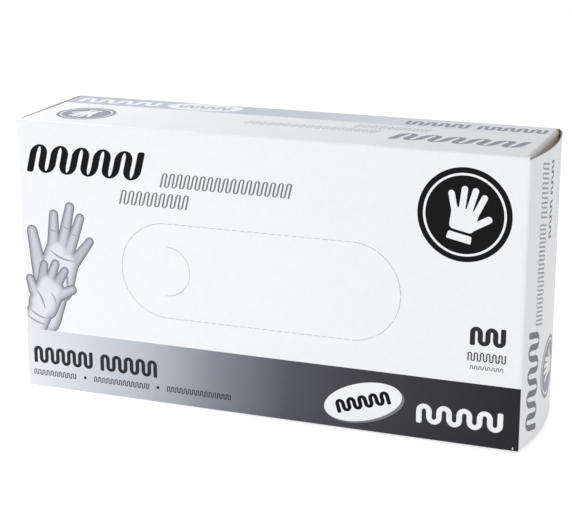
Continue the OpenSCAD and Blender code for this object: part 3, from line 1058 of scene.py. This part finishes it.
GLOVE_L = node_box("glove_bundle_10")[1][0] - node_box("glove_bundle_01")[0][0]
GLOVE_H = HEIGHT - 2 * BOARD - REST_GAP - TOP_GAP
THUMB_H = THUMB_L * math.sin(THUMB_ANGLE)
FINGER_W = (GLOVE_H - THUMB_H - THUMB_W * math.cos(THUMB_ANGLE) - 3 * FINGER_GAP) / 4
PALM_W = 4 * FINGER_W + 3 * FINGER_GAP


def glove_outline():
    """A glove lying flat: cuff at the left, lowest point at 0."""
    left, root_x = -GLOVE_L / 2, GLOVE_L / 2 - FINGER_LENGTHS[2]
    palm_r, tip_r, thumb_tip_r = 30, 0.48 * FINGER_W, 0.43 * THUMB_W
    out = [(left, CUFF_INSET, 0), (left + THUMB_BASE, 0, palm_r)]
    for k, length in enumerate(FINGER_LENGTHS):
        low, tip_x = k * (FINGER_W + FINGER_GAP), root_x + length
        high = low + FINGER_W
        out += [(root_x, low, 0), (tip_x, low, tip_r), (tip_x, high, tip_r), (root_x, high, 0)]
    crotch = Vector((root_x - THUMB_BACK, PALM_W))
    along = Vector((math.cos(THUMB_ANGLE), math.sin(THUMB_ANGLE)))
    low = crotch + along * THUMB_L
    high = low + Vector((-along.y, along.x)) * THUMB_W
    out += [(crotch.x, crotch.y, 0), (low.x, low.y, thumb_tip_r), (high.x, high.y, thumb_tip_r),
            (crotch.x - THUMB_BASE, PALM_W - CUFF_INSET, palm_r), (left, PALM_W - CUFF_INSET, 0)]
    return rounded(out, 4)


def glove_fold(x, z):
    """How far the film lies off a plane, about -1 to 1: soft waves, and sharper folds across them."""
    bend = 9 * ripple(x, z, 102)
    folds = ((0.9, 0.5, 0.87, 17), (0.7, -0.8, 0.6, 21), (0.6, 0.97, 0.26, 27))
    sharp = sum(height * (1 - np.abs(np.sin((x * dx + z * dz + bend) / length))) ** 3
                for height, dx, dz, length in folds)
    return 0.5 * ripple(x, z * 1.6, 101) + sharp - 0.5


def glove_place(y_low, depth, flip, rng):
    """Where a glove lies, from depth 0 at the front of the stack to 1. rng gives its small shifts."""
    amount = 0.3 + 1.2 * (1 - depth) ** 6
    slide, lift, phase = rng.uniform(-1.5, 1.5), rng.uniform(0, 1.5), rng.uniform(0, 2 * math.pi)

    def place(u, v, w):
        cuff = np.clip((CUFF_L - GLOVE_L / 2 - u) / CUFF_L, 0, 1)
        x = u + slide + 0.9 * cuff * np.sin(v / 13 + phase)
        x = -x if flip else x
        z = v + BOARD + REST_GAP + lift
        y = y_low + w * GLOVE_T + amount * glove_fold(x, z) * fade(z, 0, HEIGHT, 30)
        return np.stack([x, y, z], 1)
    return place


def cuff_bead(place):
    """Points, faces and loop normals of the rolled edge of a cuff: a thin tube along it."""
    z = np.linspace(CUFF_INSET, PALM_W - CUFF_INSET, BEAD_RINGS)
    line = place(np.full(BEAD_RINGS, -GLOVE_L / 2), z, np.full(BEAD_RINGS, 0.5))
    ring = [np.stack([line[:, 0] + BEAD_R * math.cos(a), line[:, 1] + BEAD_R * math.sin(a), line[:, 2]], 1)
            for a in np.linspace(0, 2 * math.pi, BEAD_SIDES, endpoint=False)]
    bead = np.stack(ring, 1).reshape(-1, 3)
    faces, normals = [], []
    for i in range(BEAD_RINGS - 1):
        for j in range(BEAD_SIDES):
            a, b = i * BEAD_SIDES + j, i * BEAD_SIDES + (j + 1) % BEAD_SIDES
            quad = (a, b, b + BEAD_SIDES, a + BEAD_SIDES)
            faces.append(quad)
            outward = [bead[q] - line[q // BEAD_SIDES] for q in quad]
            normals += [m / np.linalg.norm(m) for m in outward]
    for i, order in ((0, -1), (BEAD_RINGS - 1, 1)):
        faces.append(tuple([i * BEAD_SIDES + j for j in range(BEAD_SIDES)][::order]))
        normals += [np.array([0, 0, float(order)])] * BEAD_SIDES
    return bead, faces, normals


def glove_bundle(bundle):
    """Ten gloves of the stack, each folded in its own way, as one piece."""
    name = f"glove_bundle_{bundle:02d}"
    low, high = node_box(name)
    pitch = (high[1] - low[1] - GLOVE_T) / (GLOVES_PER_BUNDLE - 1)
    rng = random.Random(bundle)
    points, faces, normals, base = [], [], [], 0
    for k in range(GLOVES_PER_BUNDLE):
        number = (bundle - 1) * GLOVES_PER_BUNDLE + k
        place = glove_place(low[1] + k * pitch, number / (GLOVES - 1), number % 2, rng)
        grid = FINE_GRID if number < FINE_GLOVES else COARSE_GRID
        film = sheet_arrays(glove_shape, place, grid=grid)[:3]
        for part_points, part_faces, part_normals in (film, cuff_bead(place)):
            points.append(part_points)
            faces += [tuple(i + base for i in face) for face in part_faces]
            normals += part_normals
            base += len(part_points)
    piece = make_mesh(name + "_film", np.vstack(points), faces, normals, [0] * len(faces), [film_material])
    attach(piece, "carton")
    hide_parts(name)


glove_shape = glove_outline()
film_material = nitrile()
for bundle in range(1, BUNDLES + 1):
    glove_bundle(bundle)

seam = frame["nodes"]["glue_seam"]
seam.data.materials.clear()
seam.data.materials.append(glue())

# -------------------- stage, light and camera, in metres

FLOOR_SIZE = 8.0
FLOOR_DROP = 0.0004  # below the carton, so that the two don't fight
FLOOR_COLOUR = (225, 225, 225)
FLOOR_GLOW = 0.6  # keeps the floor as white as the photo's background
WORLD_GLOW = 0.5

LENS, SENSOR = 100.25, 36
AZIMUTH, ELEVATION, ROLL = math.radians(20.49), math.radians(16.38), math.radians(-0.105)
DISTANCE = 0.7376
TARGET = Vector((0.00079, 0, 0.06434))


def floor():
    """A plain white floor that runs out of the picture."""
    half = FLOOR_SIZE / 2
    mesh = bpy.data.meshes.new("floor")
    mesh.from_pydata([(x, y, 0) for x, y in rectangle(-half, -half, half, half)], [], [(0, 1, 2, 3)])
    s = Surface("floor")
    tone = linear(*FLOOR_COLOUR)
    stops = [(NOISE_LOW, shaded(tone, 0.995)), (NOISE_HIGH, tone)]
    mesh.materials.append(s.finished({
        "Base Color": s.ramp(s.noise(scale=3, detail=2), stops),
        "Roughness": 0.9,
        "Specular IOR Level": 0.1,
        "Emission Color": (1, 1, 1, 1),
        "Emission Strength": FLOOR_GLOW,
    }))
    placed = link_object("floor", mesh)
    placed.location = (0, 0, -FLOOR_DROP)


def area_light(name, at, target, size, power):
    data = bpy.data.lights.new(name, "AREA")
    data.shape, data.size, data.energy = "SQUARE", size, power
    lamp = link_object(name, data)
    lamp.location = at
    lamp.rotation_euler = (Vector(target) - Vector(at)).to_track_quat("-Z", "Y").to_euler()


def studio():
    """A white world of even light."""
    world = bpy.data.worlds.new("studio")
    world.use_nodes = True
    background = world.node_tree.nodes["Background"]
    background.inputs["Color"].default_value = (1.0, 1.0, 1.0, 1.0)
    background.inputs["Strength"].default_value = WORLD_GLOW
    bpy.context.scene.world = world
    bpy.context.scene.view_settings.view_transform = "Standard"


def camera():
    """The photo's camera, from its angles round the carton."""
    across = math.cos(ELEVATION)
    away = Vector((math.sin(AZIMUTH) * across, -math.cos(AZIMUTH) * across, math.sin(ELEVATION)))
    data = bpy.data.cameras.new("camera")
    data.lens, data.sensor_width = LENS, SENSOR
    placed = link_object("camera", data)
    placed.location = TARGET + away * DISTANCE
    aim = (-away).to_track_quat("-Z", "Y").to_matrix().to_4x4()
    placed.rotation_euler = (aim @ Matrix.Rotation(ROLL, 4, "Z")).to_euler()
    bpy.context.scene.camera = placed


floor()
area_light("front", at=(-0.5, -1.35, 1.15), target=(0, 0, 0.06), size=0.9, power=8.6)
area_light("top", at=(-0.36, 0.06, 0.44), target=(-0.06, 0, 0.1), size=0.3, power=1.3)
studio()
camera()
